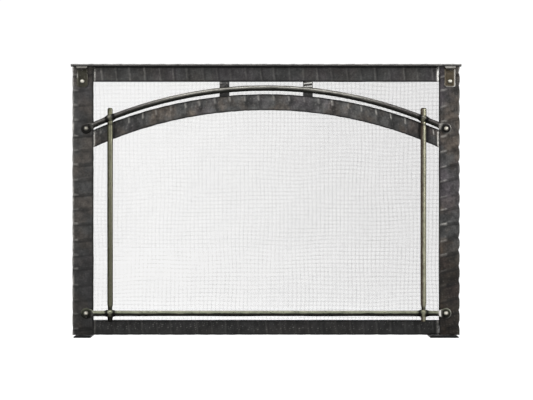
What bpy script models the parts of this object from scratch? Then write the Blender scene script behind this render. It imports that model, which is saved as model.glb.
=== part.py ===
"""A fireplace screen: hammered flat bars and forged round rods in front of a wire mesh panel.

Metres, +Z up. The front of the screen faces -Y, the feet stand on z = 0, and x = 0 is its middle.
"""

import math

import bmesh
import bpy
from mathutils import Matrix, Vector

# ---------------------------------------------------------------- driving dimensions
INCH = 0.0254
GAP = 0.0003  # between pieces that touch

FRAME_WIDTH = 0.983  # over the two stiles
FRAME_FRONT = -0.030  # y of the front face of every frame bar
BAR_THICKNESS = INCH / 4
STILE_WIDTH = 0.0523  # a 2 in bar, drawn wider by the hammering
RAIL_WIDTH = 1.5 * INCH
STILE_LENGTH = 0.6814
EDGE_CHAMFER = 0.0008
RAIL_END_BEVEL = 0.005

BLOW_DEPTH = 0.0006  # the hollow that each hammer blow leaves in the front of a bar
# for each hammered bar: how many blows, and how deep its low and its high edge are notched
HAMMERING = {
    "left_stile": (18, 0.0003, 0.0004),
    "right_stile": (18, 0.0018, 0.0004),
    "top_rail": (22, 0.0005, 0.0002),
    "bottom_rail": (24, 0.0003, 0.0018),
    "cap_bar": (26, 0.0008, 0.0004),
    "arch_bar": (25, 0.0004, 0.0004),
}

FOOT_THICKNESS = 3 * INCH / 16
FOOT_LENGTH = 0.170
FOOT_INSET = 3 * INCH / 16  # from the outer edge of a stile to the outer edge of its foot
LEFT_FOOT_WIDTH = 1.75 * INCH
RIGHT_FOOT_WIDTH = 2.875 * INCH
FOOT_CORNER = 0.003

CAP_LENGTH = 0.990
CAP_WIDTH = 1.5 * INCH
CAP_THICKNESS = INCH / 4
CAP_REACH = 0.026  # from the front of the frame to the front edge of the cap

ARCH_WIDTH = 0.0415  # a 1 1/2 in bar, drawn wider by the hammering
ARCH_RADIUS = 1.1023  # of the upper edge of the arch bar
ARCH_CROWN = 0.6173  # z of the upper edge of the arch bar, at its middle
ARCH_SPAN_ANGLE = 0.86  # a little more than the opening, before the ends are cut

SPACER_WIDTH = 1.0 * INCH
SPACER_OFFSET = 0.106

ROD_RADIUS = 9 * INCH / 32
ROD_SIDES = 12
ROD_RING_SPACING = 0.040  # between the rings of a plain length of rod
ARCH_ROD_RADIUS = 1.070
ARCH_ROD_CROWN = 0.6320
BOTTOM_ROD_HEIGHT = 0.0602
UPRIGHT_X = {"left": -0.396, "right": 0.3993}
UPRIGHT_BOTTOM = 0.038
UPRIGHT_TOP = 0.582
UPRIGHT_DOME = 0.0022  # how far the round of each end reaches

PAD_RADIUS = 0.0135
PAD_THICKNESS = 0.004
PAD_TIP = 0.003  # half the height of the blunt tip of a pad
PAD_X = 0.457
PAD_FLAT = 1.6 * PAD_RADIUS  # from the tip, how far the end is forged flat
NECK_LENGTH = 0.012  # from there to the full round of the rod
EYE_HALF_LENGTH = 0.016
EYE_SWELL = 0.0038  # how much an eye stands out from the rod, all round
EYE_HOLE_LENGTH = 0.060
EYE_HOLE_SIDES = 16

RIVET_HEAD_RADIUS = 0.0064
RIVET_HEAD_HEIGHT = 0.0048
RIVET_SHANK_RADIUS = INCH / 8
RIVET_HOLE_LENGTH = 0.040  # enough to pass right through whatever a rivet holds
FASTENER_SIDES = 12

CLIP_WIDTH = 0.028
CLIP_HEIGHT = 0.0515
CLIP_THICKNESS = 3 * INCH / 16
CLIP_REACH = 0.025
CLIP_CORNER = 0.007  # the round of its two lower corners
CLIP_THROAT = 0.002  # the slope inside its bend
CLIP_X = 0.467
CLIP_RIVET_DROP = 0.037  # from the top of the stile to the rivet
CAP_RIVET_REACH = 0.015  # from the front of the frame to the rivet in the cap
CAP_RIVET_SET = 0.0006  # from the end of that rivet up to the top of the cap

MESH_THICKNESS = 0.002
MESH_MARGIN = INCH / 2  # how far the mesh reaches behind each bar
RETAINER_WIDTH = INCH / 2
RETAINER_THICKNESS = INCH / 8
SCREW_RADIUS = 0.002
SCREW_HEAD_RADIUS = 0.0039
SCREW_HEAD_HEIGHT = 0.0024
SCREW_BITE = 0.0037  # how deep a screw goes into its bar
SCREW_SIDES = 10
SCREW_X = (-0.375, -0.125, 0.125, 0.375)  # along the top and the bottom
SCREW_Z = (0.200, 0.440)  # up each side

GUSSET_SIZE = 0.075
GUSSET_THICKNESS = INCH / 4
GUSSET_NOSE = 0.012  # the blunt ends of its slope
GUSSET_X = 0.474

# ---------------------------------------------------------------- worked out from them
FRAME_BACK = FRAME_FRONT + BAR_THICKNESS
STILE_BOTTOM = FOOT_THICKNESS + GAP
STILE_TOP = STILE_BOTTOM + STILE_LENGTH
OPENING_HALF = FRAME_WIDTH / 2 - STILE_WIDTH
TOP_RAIL_BOTTOM = STILE_TOP - RAIL_WIDTH
BOTTOM_RAIL_TOP = STILE_BOTTOM + RAIL_WIDTH
ARCH_CENTRE_Z = ARCH_CROWN - ARCH_RADIUS
ARCH_ROD_CENTRE_Z = ARCH_ROD_CROWN - ARCH_ROD_RADIUS
ROD_Y = FRAME_FRONT - GAP - ROD_RADIUS
PAD_FRONT = FRAME_FRONT - GAP - PAD_THICKNESS
CAP_TOP = STILE_TOP + GAP + CAP_THICKNESS
MESH_FRONT = FRAME_BACK + GAP
MESH_BACK = MESH_FRONT + MESH_THICKNESS
RETAINER_FRONT = MESH_BACK + GAP
RETAINER_BACK = RETAINER_FRONT + RETAINER_THICKNESS
MESH_HALF_WIDTH = OPENING_HALF + MESH_MARGIN
MESH_BOTTOM = BOTTOM_RAIL_TOP - MESH_MARGIN
MESH_TOP = TOP_RAIL_BOTTOM + MESH_MARGIN
CLIP_RIVET_Z = STILE_TOP - CLIP_RIVET_DROP
CLIP_FRONT = FRAME_FRONT - GAP - CLIP_THICKNESS

SIDES = {"left": -1, "right": 1}

# rotations that stand a flat outline up, and that turn a fastener's head
FACING_FRONT = (math.radians(90), 0, 0)
FACING_SIDE = (math.radians(90), 0, math.radians(90))
STANDING_BAR = (0, math.radians(-90), 0)
LYING_BAR = (math.radians(-90), 0, 0)
HEAD_FRONT = (math.radians(90), 0, 0)
HEAD_BACK = (math.radians(-90), 0, 0)
HEAD_DOWN = (math.radians(180), 0, 0)

# colour, roughness and metallic value
FINISHES = {
    "hammered_bar": ((0.060, 0.057, 0.053), 0.48, 0.70),
    "round_rod": ((0.150, 0.140, 0.100), 0.38, 0.80),
    "rivet": ((0.230, 0.215, 0.180), 0.32, 0.85),
    "clip": ((0.115, 0.095, 0.065), 0.42, 0.75),
    "wire": ((0.300, 0.285, 0.280), 0.45, 0.80),
    "hidden_steel": ((0.045, 0.043, 0.041), 0.55, 0.60),
}


# ---------------------------------------------------------------- objects and materials
def clear_scene():
    for old in list(bpy.data.objects):
        bpy.data.objects.remove(old, do_unlink=True)


def finish_material(name, finish):
    colour, roughness, metallic = FINISHES[finish]
    material = bpy.data.materials.new(f"{name}_finish")
    material.use_nodes = True
    shader = material.node_tree.nodes["Principled BSDF"]
    shader.inputs["Base Color"].default_value = (*colour, 1.0)
    shader.inputs["Roughness"].default_value = roughness
    shader.inputs["Metallic"].default_value = metallic
    return material


def add_object(name, shape, finish, location=(0, 0, 0), rotation=(0, 0, 0), smooth=False):
    """Turn a bmesh into a named object that belongs to the screen."""
    bmesh.ops.recalc_face_normals(shape, faces=shape.faces)
    mesh = bpy.data.meshes.new(name)
    shape.to_mesh(mesh)
    shape.free()
    if smooth:
        mesh.shade_smooth()
        mesh.set_sharp_from_angle(angle=math.radians(35))
    mesh.materials.append(finish_material(name, finish))
    obj = bpy.data.objects.new(name, mesh)
    obj.location = location
    obj.rotation_euler = rotation
    obj.parent = SCREEN
    bpy.context.scene.collection.objects.link(obj)
    return obj


def drill(target, holes, sides=FASTENER_SIDES):
    """Cut straight round holes, each given as (centre, axis, radius, length)."""
    shape = bmesh.new()
    for centre, axis, radius, length in holes:
        turn = Vector((0, 0, 1)).rotation_difference(Vector(axis)).to_matrix().to_4x4()
        bmesh.ops.create_cone(
            shape,
            cap_ends=True,
            segments=sides,
            radius1=radius,
            radius2=radius,
            depth=length,
            matrix=Matrix.Translation(centre) @ turn,
        )
    mesh = bpy.data.meshes.new(f"cut_{target.name}")
    shape.to_mesh(mesh)
    shape.free()
    cutter = bpy.data.objects.new(f"cut_{target.name}", mesh)
    cutter.hide_render = True
    cutter.display_type = "WIRE"
    cutter.parent = SCREEN
    bpy.context.scene.collection.objects.link(cutter)
    cut = target.modifiers.new("holes", "BOOLEAN")
    cut.operation = "DIFFERENCE"
    cut.solver = "EXACT"
    cut.object = cutter


# ---------------------------------------------------------------- shapes
def loft(rings):
    """Join rings of points, given in order, into one closed body with flat ends."""
    shape = bmesh.new()
    rows = [[shape.verts.new(point) for point in ring] for ring in rings]
    count = len(rows[0])
    for here, there in zip(rows, rows[1:]):
        for i in range(count):
            j = (i + 1) % count
            shape.faces.new((here[i], here[j], there[j], there[i]))
    shape.faces.new(rows[0][::-1])
    shape.faces.new(rows[-1])
    return shape


def lathe(profile, sides):
    """Turn (radius, height) points about local Z; the first and last lie on the axis."""
    shape = bmesh.new()
    first = shape.verts.new((0, 0, profile[0][1]))
    last = shape.verts.new((0, 0, profile[-1][1]))
    rows = []
    for radius, height in profile[1:-1]:
        angles = [2 * math.pi * i / sides for i in range(sides)]
        ring = [(radius * math.cos(a), radius * math.sin(a), height) for a in angles]
        rows.append([shape.verts.new(point) for point in ring])
    for i in range(sides):
        j = (i + 1) % sides
        shape.faces.new((first, rows[0][j], rows[0][i]))
        shape.faces.new((last, rows[-1][i], rows[-1][j]))
        for here, there in zip(rows, rows[1:]):
            shape.faces.new((here[i], here[j], there[j], there[i]))
    return shape


def prism(outline, thickness):
    """A flat piece: an outline in local XY, as thick as local Z from 0 to thickness."""
    return loft([[(x, y, z) for x, y in outline] for z in (0, thickness)])


def rounded_rectangle(width, height, radius, steps=3):
    """An outline with its lower left corner at the origin and round corners."""
    centres = (
        (width - radius, radius, -90),
        (width - radius, height - radius, 0),
        (radius, height - radius, 90),
        (radius, radius, 180),
    )
    outline = []
    for x, y, start in centres:
        for i in range(steps + 1):
            angle = math.radians(start + 90 * i / steps)
            outline.append((x + radius * math.cos(angle), y + radius * math.sin(angle)))
    return outline


def bend(shape, radius):
    """Bend a body that lies along local X upwards into an arch of this radius, about local Y."""
    for vert in shape.verts:
        x, y, z = vert.co
        angle = x / radius
        vert.co = ((radius + z) * math.sin(angle), y, (radius + z) * math.cos(angle) - radius)


def bar_section(x, front, low, high):
    """A chamfered rectangle across a flat bar, at x along it."""
    c = EDGE_CHAMFER
    back = BAR_THICKNESS
    points = (
        (front, low + c),
        (front + c, low),
        (back - c, low),
        (back, low + c),
        (back, high - c),
        (back - c, high),
        (front + c, high),
        (front, high - c),
    )
    return [(x, y, z) for y, z in points]


def hammered_bar(name, length, width, end_bevel=0.0):
    """A flat bar along local X, its front face at y = 0, drawn out by a row of hammer blows.

    Each blow leaves a hollow in the front face and spreads the edges, so that the ridge between
    two blows stands between two notches.
    """
    blows, low_notch, high_notch = HAMMERING[name]
    half_pitch = length / blows / 2
    rings = []
    for i in range(2 * blows + 1):
        ridge = 1 - i % 2
        x = i * half_pitch
        low = low_notch * ridge
        high = width - high_notch * ridge
        at_end = i in (0, 2 * blows)
        if at_end and end_bevel:
            inward = end_bevel if i == 0 else -end_bevel
            pair = [bar_section(x, end_bevel / 2, low, high), bar_section(x + inward, 0, low, high)]
            rings += pair if i == 0 else pair[::-1]
        else:
            rings.append(bar_section(x, BLOW_DEPTH * (1 - ridge), low, high))
    return loft(rings)


def rod_section(x, half_height, half_depth, y, squareness=0.0):
    """A ring across a rod that lies along local X: round, or squarer where it is forged flat."""
    power = 1.0 - 0.5 * squareness
    ring = []
    for i in range(ROD_SIDES):
        angle = 2 * math.pi * (i + 0.5) / ROD_SIDES
        across = math.copysign(abs(math.cos(angle)) ** power, math.cos(angle))
        up = math.sin(angle)
        ring.append((x, y + half_depth * across, half_height * up))
    return ring


def pad_ring(x, inward, end):
    """The ring of a forged end at this distance inward from the tip of the pad."""
    from_centre = inward - PAD_RADIUS
    disc = math.sqrt(max(PAD_RADIUS**2 - from_centre**2, 0.0))
    blend = min(max((inward - PAD_FLAT) / NECK_LENGTH, 0.0), 1.0)
    floor = PAD_TIP if from_centre < 0 else ROD_RADIUS
    half_height = max(disc, floor)
    half_depth = PAD_THICKNESS / 2 + (ROD_RADIUS - PAD_THICKNESS / 2) * blend
    back_shift = ROD_RADIUS - half_depth
    return rod_section(end * x, half_height, half_depth, back_shift, 1 - blend)


def forged_rod(half_length, eyes):
    """A round rod along local X with a flat pad at each end and swellings where eyes are punched."""
    inward = [PAD_RADIUS * (1 - math.cos(math.radians(30 * i))) for i in range(5)]
    inward += [PAD_FLAT, PAD_FLAT + NECK_LENGTH / 2, PAD_FLAT + NECK_LENGTH]
    rings = [pad_ring(half_length - d, d, -1) for d in inward]
    plain_end = half_length - inward[-1]
    stations = []
    for eye in eyes:
        for step in (-1, -0.66, -0.33, 0, 0.33, 0.66, 1):
            swell = EYE_SWELL * math.cos(step * math.pi / 2) ** 2
            stations.append((eye + step * EYE_HALF_LENGTH, ROD_RADIUS + swell))
    count = int(2 * plain_end / ROD_RING_SPACING)
    for i in range(1, count):
        x = -plain_end + 2 * plain_end * i / count
        if all(abs(x - eye) > 1.6 * EYE_HALF_LENGTH for eye in eyes):
            stations.append((x, ROD_RADIUS))
    rings += [rod_section(x, radius, radius, 0) for x, radius in sorted(stations)]
    rings += [pad_ring(half_length - d, d, 1) for d in reversed(inward)]
    return loft(rings)


# ---------------------------------------------------------------- the frame
def screw_places():
    """The (name, x, z) of every screw that holds the mesh and its retainers."""
    places = []
    inward = RETAINER_WIDTH / 2
    for edge, z in (("top", MESH_TOP - inward), ("bottom", MESH_BOTTOM + inward)):
        for i, x in enumerate(SCREW_X, start=1):
            places.append((f"{edge}_{i}", x, z))
    for side, sign in SIDES.items():
        for i, z in enumerate(SCREW_Z, start=1):
            places.append((f"{side}_{i}", sign * (MESH_HALF_WIDTH - inward), z))
    return places


def screw_holes(prefix, start, depth):
    """Holes for the screws of one edge, or of all, from y = start to start + depth."""
    centre_y = start + depth / 2
    radius = SCREW_RADIUS + GAP
    return [
        (Vector((x, centre_y, z)), (0, 1, 0), radius, depth)
        for name, x, z in screw_places()
        if name.startswith(prefix)
    ]


def blind_holes(prefix):
    depth = SCREW_BITE + GAP
    return screw_holes(prefix, FRAME_BACK - depth, depth + GAP)


def rivet_hole(x, z):
    """A hole for a rivet from front to back, right through a pad, a clip and a stile."""
    place = Vector((x, FRAME_FRONT, z))
    return (place, (0, 1, 0), RIVET_SHANK_RADIUS + GAP, RIVET_HOLE_LENGTH)


def cap_rivet_hole(x):
    """A hole for a rivet that stands upright in the flange of a clip and the cap."""
    place = Vector((x, FRAME_FRONT - CAP_RIVET_REACH, STILE_TOP))
    return (place, (0, 0, 1), RIVET_SHANK_RADIUS + GAP, RIVET_HOLE_LENGTH)


def arch_rod_z(x):
    return ARCH_ROD_CENTRE_Z + math.sqrt(ARCH_ROD_RADIUS**2 - x**2)


def make_stiles():
    outer = FRAME_WIDTH / 2
    for side, sign in SIDES.items():
        right_edge = -OPENING_HALF if side == "left" else outer
        name = f"{side}_stile"
        shape = hammered_bar(name, STILE_LENGTH, STILE_WIDTH)
        location = (right_edge, FRAME_FRONT, STILE_BOTTOM)
        stile = add_object(name, shape, "hammered_bar", location, STANDING_BAR)
        rivets = [
            rivet_hole(sign * PAD_X, arch_rod_z(PAD_X)),
            rivet_hole(sign * PAD_X, BOTTOM_ROD_HEIGHT),
            rivet_hole(sign * CLIP_X, CLIP_RIVET_Z),
        ]
        drill(stile, rivets + blind_holes(side))


def make_rails():
    length = 2 * (OPENING_HALF - GAP)
    for edge, z in (("top", TOP_RAIL_BOTTOM), ("bottom", STILE_BOTTOM)):
        name = f"{edge}_rail"
        shape = hammered_bar(name, length, RAIL_WIDTH, RAIL_END_BEVEL)
        rail = add_object(name, shape, "hammered_bar", (-length / 2, FRAME_FRONT, z))
        drill(rail, blind_holes(edge), SCREW_SIDES)


def make_cap_bar():
    shape = hammered_bar("cap_bar", CAP_LENGTH, CAP_WIDTH)
    location = (-CAP_LENGTH / 2, FRAME_FRONT - CAP_REACH, CAP_TOP)
    cap = add_object("cap_bar", shape, "hammered_bar", location, LYING_BAR)
    drill(cap, [cap_rivet_hole(sign * CLIP_X) for sign in SIDES.values()])


def make_arch_bar():
    """The bar is bent about its middle line, then its ends are cut upright to fit the stiles."""
    middle_radius = ARCH_RADIUS - ARCH_WIDTH / 2
    length = ARCH_SPAN_ANGLE * middle_radius
    shape = hammered_bar("arch_bar", length, ARCH_WIDTH)
    bmesh.ops.translate(shape, verts=shape.verts, vec=(-length / 2, 0, -ARCH_WIDTH / 2))
    bend(shape, middle_radius)
    for sign in SIDES.values():
        bmesh.ops.bisect_plane(
            shape,
            geom=shape.verts[:] + shape.edges[:] + shape.faces[:],
            plane_co=(sign * (OPENING_HALF - GAP), 0, 0),
            plane_no=(sign, 0, 0),
            clear_outer=True,
        )
        bmesh.ops.edgeloop_fill(shape, edges=[edge for edge in shape.edges if edge.is_boundary])
    add_object("arch_bar", shape, "hammered_bar", (0, FRAME_FRONT, ARCH_CROWN - ARCH_WIDTH / 2))


def make_spacers():
    """Short blocks from the arch bar up to the top rail, their lower ends cut to the arch."""
    half = SPACER_WIDTH / 2
    top = TOP_RAIL_BOTTOM - GAP
    for side, sign in SIDES.items():
        centre = sign * SPACER_OFFSET
        outline = [(half, top), (-half, top)]
        for x in (-half, 0, half):
            rise = math.sqrt((ARCH_RADIUS + GAP) ** 2 - (centre + x) ** 2)
            outline.append((x, ARCH_CENTRE_Z + rise))
        shape = prism(outline, BAR_THICKNESS)
        add_object(f"{side}_spacer", shape, "hammered_bar", (centre, FRAME_BACK, 0), FACING_FRONT)


def make_feet():
    for side, sign in SIDES.items():
        outer = FRAME_WIDTH / 2 - FOOT_INSET
        width = LEFT_FOOT_WIDTH if side == "left" else RIGHT_FOOT_WIDTH
        left_edge = -outer if side == "left" else outer - width
        shape = prism(rounded_rectangle(width, FOOT_LENGTH, FOOT_CORNER), FOOT_THICKNESS)
        add_object(f"{side}_foot", shape, "hammered_bar", (left_edge, -FOOT_LENGTH / 2, 0))

        outline = [
            (0, 0),
            (GUSSET_SIZE, 0),
            (GUSSET_SIZE, GUSSET_NOSE),
            (GUSSET_NOSE, GUSSET_SIZE),
            (0, GUSSET_SIZE),
        ]
        shape = prism(outline, GUSSET_THICKNESS)
        left_face = sign * GUSSET_X - GUSSET_THICKNESS / 2
        location = (left_face, FRAME_BACK + GAP, FOOT_THICKNESS + GAP)
        add_object(f"{side}_gusset", shape, "hidden_steel", location, FACING_SIDE)


# ---------------------------------------------------------------- rods, clips and rivets
def make_cross_rods():
    """The arch rod and the bottom rod, each with two eyes and two riveted pads."""
    half_length = ARCH_ROD_RADIUS * math.asin(PAD_X / ARCH_ROD_RADIUS) + PAD_RADIUS
    eyes = [ARCH_ROD_RADIUS * math.asin(x / ARCH_ROD_RADIUS) for x in UPRIGHT_X.values()]
    shape = forged_rod(half_length, eyes)
    bend(shape, ARCH_ROD_RADIUS)
    arch_rod = add_object("arch_rod", shape, "round_rod", (0, ROD_Y, ARCH_ROD_CROWN), smooth=True)

    shape = forged_rod(PAD_X + PAD_RADIUS, UPRIGHT_X.values())
    location = (0, ROD_Y, BOTTOM_ROD_HEIGHT)
    bottom_rod = add_object("bottom_rod", shape, "round_rod", location, smooth=True)

    for rod, height in ((arch_rod, arch_rod_z), (bottom_rod, lambda x: BOTTOM_ROD_HEIGHT)):
        holes = [rivet_hole(sign * PAD_X, height(PAD_X)) for sign in SIDES.values()]
        for x in UPRIGHT_X.values():
            place = Vector((x, ROD_Y, height(x)))
            holes.append((place, (0, 0, 1), ROD_RADIUS + GAP, EYE_HOLE_LENGTH))
        drill(rod, holes, EYE_HOLE_SIDES)


def make_upright_rods():
    length = UPRIGHT_TOP - UPRIGHT_BOTTOM
    for side, x in UPRIGHT_X.items():
        profile = [
            (0, 0),
            (0.6 * ROD_RADIUS, 0),
            (ROD_RADIUS, UPRIGHT_DOME),
            (ROD_RADIUS, length - UPRIGHT_DOME),
            (0.75 * ROD_RADIUS, length - 0.3 * UPRIGHT_DOME),
            (0, length),
        ]
        location = (x, ROD_Y, UPRIGHT_BOTTOM)
        add_object(f"{side}_upright_rod", lathe(profile, ROD_SIDES), "round_rod", location, smooth=True)


def make_rivet(name, location, rotation, grip):
    """A domed rivet; its head stands along local +Z and its shank is as long as the grip."""
    r, h = RIVET_HEAD_RADIUS, RIVET_HEAD_HEIGHT
    profile = [
        (0, -grip),
        (RIVET_SHANK_RADIUS, -grip),
        (RIVET_SHANK_RADIUS, 0),
        (0.97 * r, 0),
        (r, 0.15 * h),
        (0.82 * r, 0.60 * h),
        (0.45 * r, 0.92 * h),
        (0, h),
    ]
    add_object(name, lathe(profile, FASTENER_SIDES), "rivet", location, rotation, smooth=True)


def make_rivets():
    pad_seat = PAD_FRONT - GAP
    clip_seat = CLIP_FRONT - GAP
    cap_seat = STILE_TOP - CLIP_THICKNESS - GAP
    pad_grip = FRAME_BACK - pad_seat
    clip_grip = FRAME_BACK - clip_seat
    cap_grip = CAP_TOP - CAP_RIVET_SET - cap_seat
    for side, sign in SIDES.items():
        for rod, z in (("arch_rod", arch_rod_z(PAD_X)), ("bottom_rod", BOTTOM_ROD_HEIGHT)):
            place = (sign * PAD_X, pad_seat, z)
            make_rivet(f"{rod}_rivet_{side}", place, HEAD_FRONT, pad_grip)
        place = (sign * CLIP_X, clip_seat, CLIP_RIVET_Z)
        make_rivet(f"clip_rivet_{side}", place, HEAD_FRONT, clip_grip)
        place = (sign * CLIP_X, FRAME_FRONT - CAP_RIVET_REACH, cap_seat)
        make_rivet(f"cap_rivet_{side}", place, HEAD_DOWN, cap_grip)


def is_lower_corner(edge):
    """Whether an edge of an unrounded clip runs through its leg, at the lower end."""
    first, second = (vert.co for vert in edge.verts)
    return max(first.y, second.y) < GAP and abs(first.x - second.x) > CLIP_THICKNESS / 2


def make_corner_clips():
    """Angle clips: one leg on the stile, with round lower corners, and a flange under the cap."""
    t = CLIP_THICKNESS
    under = CLIP_HEIGHT - t
    outline = [
        (0, 0),
        (0, CLIP_HEIGHT),
        (-CLIP_REACH, CLIP_HEIGHT),
        (-CLIP_REACH, under),
        (-t - CLIP_THROAT, under),
        (-t, under - CLIP_THROAT),
        (-t, 0),
    ]
    for side, sign in SIDES.items():
        shape = prism(outline, CLIP_WIDTH)
        corners = [edge for edge in shape.edges if is_lower_corner(edge)]
        bmesh.ops.bevel(
            shape, geom=corners, offset=CLIP_CORNER, segments=3, affect="EDGES", profile=0.5
        )
        location = (sign * CLIP_X - CLIP_WIDTH / 2, FRAME_FRONT - GAP, STILE_TOP - CLIP_HEIGHT)
        clip = add_object(f"{side}_corner_clip", shape, "clip", location, FACING_SIDE)
        drill(clip, [rivet_hole(sign * CLIP_X, CLIP_RIVET_Z), cap_rivet_hole(sign * CLIP_X)])


# ---------------------------------------------------------------- the mesh and what holds it
def flat_plate(name, finish, low, high, front, thickness, holes):
    """An upright plate between two (x, z) corners, with screw holes."""
    width, height = high[0] - low[0], high[1] - low[1]
    shape = prism([(0, 0), (width, 0), (width, height), (0, height)], thickness)
    plate = add_object(name, shape, finish, (low[0], front + thickness, low[1]), FACING_FRONT)
    drill(plate, holes, SCREW_SIDES)


def make_mesh_and_retainers():
    low = (-MESH_HALF_WIDTH, MESH_BOTTOM)
    high = (MESH_HALF_WIDTH, MESH_TOP)
    through = screw_holes("", MESH_FRONT - GAP, MESH_THICKNESS + 2 * GAP)
    flat_plate("wire_mesh", "wire", low, high, MESH_FRONT, MESH_THICKNESS, through)

    w = RETAINER_WIDTH
    inner_low, inner_high = MESH_BOTTOM + w + GAP, MESH_TOP - w - GAP
    corners = {
        "top": ((low[0], MESH_TOP - w), high),
        "bottom": (low, (high[0], MESH_BOTTOM + w)),
        "left": ((low[0], inner_low), (low[0] + w, inner_high)),
        "right": ((high[0] - w, inner_low), (high[0], inner_high)),
    }
    for edge, (start, end) in corners.items():
        through = screw_holes(edge, RETAINER_FRONT - GAP, RETAINER_THICKNESS + 2 * GAP)
        flat_plate(
            f"retainer_{edge}", "hidden_steel", start, end, RETAINER_FRONT, RETAINER_THICKNESS, through
        )


def make_screws():
    seat = RETAINER_BACK + GAP
    shank = seat - (FRAME_BACK - SCREW_BITE)
    r, h = SCREW_HEAD_RADIUS, SCREW_HEAD_HEIGHT
    profile = [
        (0, -shank),
        (SCREW_RADIUS, -shank),
        (SCREW_RADIUS, 0),
        (r, 0),
        (r, 0.45 * h),
        (0.75 * r, 0.9 * h),
        (0, h),
    ]
    for name, x, z in screw_places():
        shape = lathe(profile, SCREW_SIDES)
        add_object(f"retainer_screw_{name}", shape, "rivet", (x, seat, z), HEAD_BACK, smooth=True)


clear_scene()
SCREEN = bpy.data.objects.new("fireplace_screen", None)
bpy.context.scene.collection.objects.link(SCREEN)

make_feet()
make_stiles()
make_rails()
make_cap_bar()
make_arch_bar()
make_spacers()
make_cross_rods()
make_upright_rods()
make_corner_clips()
make_rivets()
make_mesh_and_retainers()
make_screws()
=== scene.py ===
"""Looks of the fireplace screen: peened flat bars, forged rods, domed rivets and a woven wire mesh.

Metres, +Z up, and the front of the screen faces -Y, as in the frame. Shapes are built with numpy
grids whose lowest and highest places come from the CAD nodes that they stand for.
"""

import math

import bmesh
import bpy
import numpy as np
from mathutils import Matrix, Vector


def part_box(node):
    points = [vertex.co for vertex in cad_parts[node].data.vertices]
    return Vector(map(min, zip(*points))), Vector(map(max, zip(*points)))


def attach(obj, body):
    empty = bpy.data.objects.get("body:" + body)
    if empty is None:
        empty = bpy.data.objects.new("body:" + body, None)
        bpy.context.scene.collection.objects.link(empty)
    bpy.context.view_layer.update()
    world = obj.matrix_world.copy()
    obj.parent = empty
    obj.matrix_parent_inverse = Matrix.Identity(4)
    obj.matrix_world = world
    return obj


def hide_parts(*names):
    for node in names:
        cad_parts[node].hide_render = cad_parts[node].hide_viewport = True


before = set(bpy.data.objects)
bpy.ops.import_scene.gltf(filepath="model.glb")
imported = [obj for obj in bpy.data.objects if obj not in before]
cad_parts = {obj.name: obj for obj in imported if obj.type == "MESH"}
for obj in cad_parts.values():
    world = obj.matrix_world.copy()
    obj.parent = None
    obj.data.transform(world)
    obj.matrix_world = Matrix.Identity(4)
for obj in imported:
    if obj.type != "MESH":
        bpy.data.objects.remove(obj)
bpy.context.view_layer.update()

# ---------------------------------------------------------------- sizes, in metres
INCH = 0.0254
BODY = "root"
SIDES = ("left", "right")
AXIS_X, AXIS_Y, AXIS_Z = range(3)

ROD_RADIUS = 9 * INCH / 32
ARCH_ROD_RADIUS = 1.070
ARCH_WIDTH = 0.0415
PAD_RADIUS = 0.0135
PAD_THICKNESS = 0.004
PAD_FLAT = 1.6 * PAD_RADIUS
NECK_LENGTH = 0.012
EYE_HALF_LENGTH = 0.016
EYE_SWELL = 0.0038
RIVET_HEAD_RADIUS = 0.0064
RIVET_HEAD_HEIGHT = 0.0048

PEEN_PITCH = 0.0370  # from one hammer blow to the next along a bar
BAR_BEVEL_WIDTH = 0.0040  # the hammered slope along both front edges of a bar
BAR_BEVEL_DEPTH = 0.0020
BAR_EDGE_RADIUS = 0.0010  # of the back edges
BAR_STEP = 0.0017  # between stations along a bar
BAR_STEP_ACROSS = 0.0022
ROD_STEP = 0.0025
UPRIGHT_ROD_STEP = 0.0024
STEEP_SHARE = 0.10  # of the pitch, taken by the steep side of a ridge
BLOW_SCATTER = 0.07  # of the pitch, by which a ridge misses its even place
BITE_SHARE = 0.32  # of the pitch, over which a notch opens beside its ridge
DENTS_PER_AREA = 9000  # small dents on a square metre
DENT_RADIUS = 0.006
DENT_DEPTH = 0.00018
MOST_SOOT_AND_SHADE = 0.92
SCREW_HEAD_HEIGHT = 0.0024
SCREW_SHANK_RADIUS = 0.002
WELD_REACH = 0.0005  # how far a butted end goes into its neighbour
RIPPLE_WAVES = 6

COLUMN_PITCH = 0.00338
ROW_PITCH = 0.00337
FINE_WIRE_RADIUS = 0.00025
HEAVY_WIRE_RADIUS = 0.00034
HEAVY_EVERY = 3
MESH_WAVE = 0.0008  # how far the wires stray sideways
WIRE_SIDES = 3
UPRIGHT_WIRE_STATIONS = 56

CAMERA_LENS = 200.0
SENSOR_WIDTH = 36.0
VIEW_WIDTH = 1.354  # what the picture is wide, at the front of the frame
CAMERA_HEIGHT = 0.348


# ---------------------------------------------------------------- noise
def wander(x, period, rng):
    """A smooth random curve between -1 and 1 that changes over about one period."""
    low = float(np.min(x))
    count = int((float(np.max(x)) - low) / period) + 3
    knots = rng.uniform(-1, 1, count)
    place = (x - low) / period
    index = np.clip(place.astype(int), 0, count - 2)
    part = place - index
    part = part * part * (3 - 2 * part)
    return knots[index] * (1 - part) + knots[index + 1] * part


def smooth_step(value):
    value = np.clip(value, 0, 1)
    return value * value * (3 - 2 * value)


def bell(value, width):
    """1 where the value is 0, falling off over a width to each side."""
    return np.exp(-((value / width) ** 2))


def band(value, low, high, soft):
    """1 between low and high, and 0 outside, with soft ends."""
    return smooth_step((value - low) / soft + 0.5) * smooth_step((high - value) / soft + 0.5)


def at_least(marks, key, values):
    """Raise a mark, of rubbing and painted highlight or of painted shade, to these values wherever
    it is lower.
    """
    marks[key] = np.maximum(marks[key], values)


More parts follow.
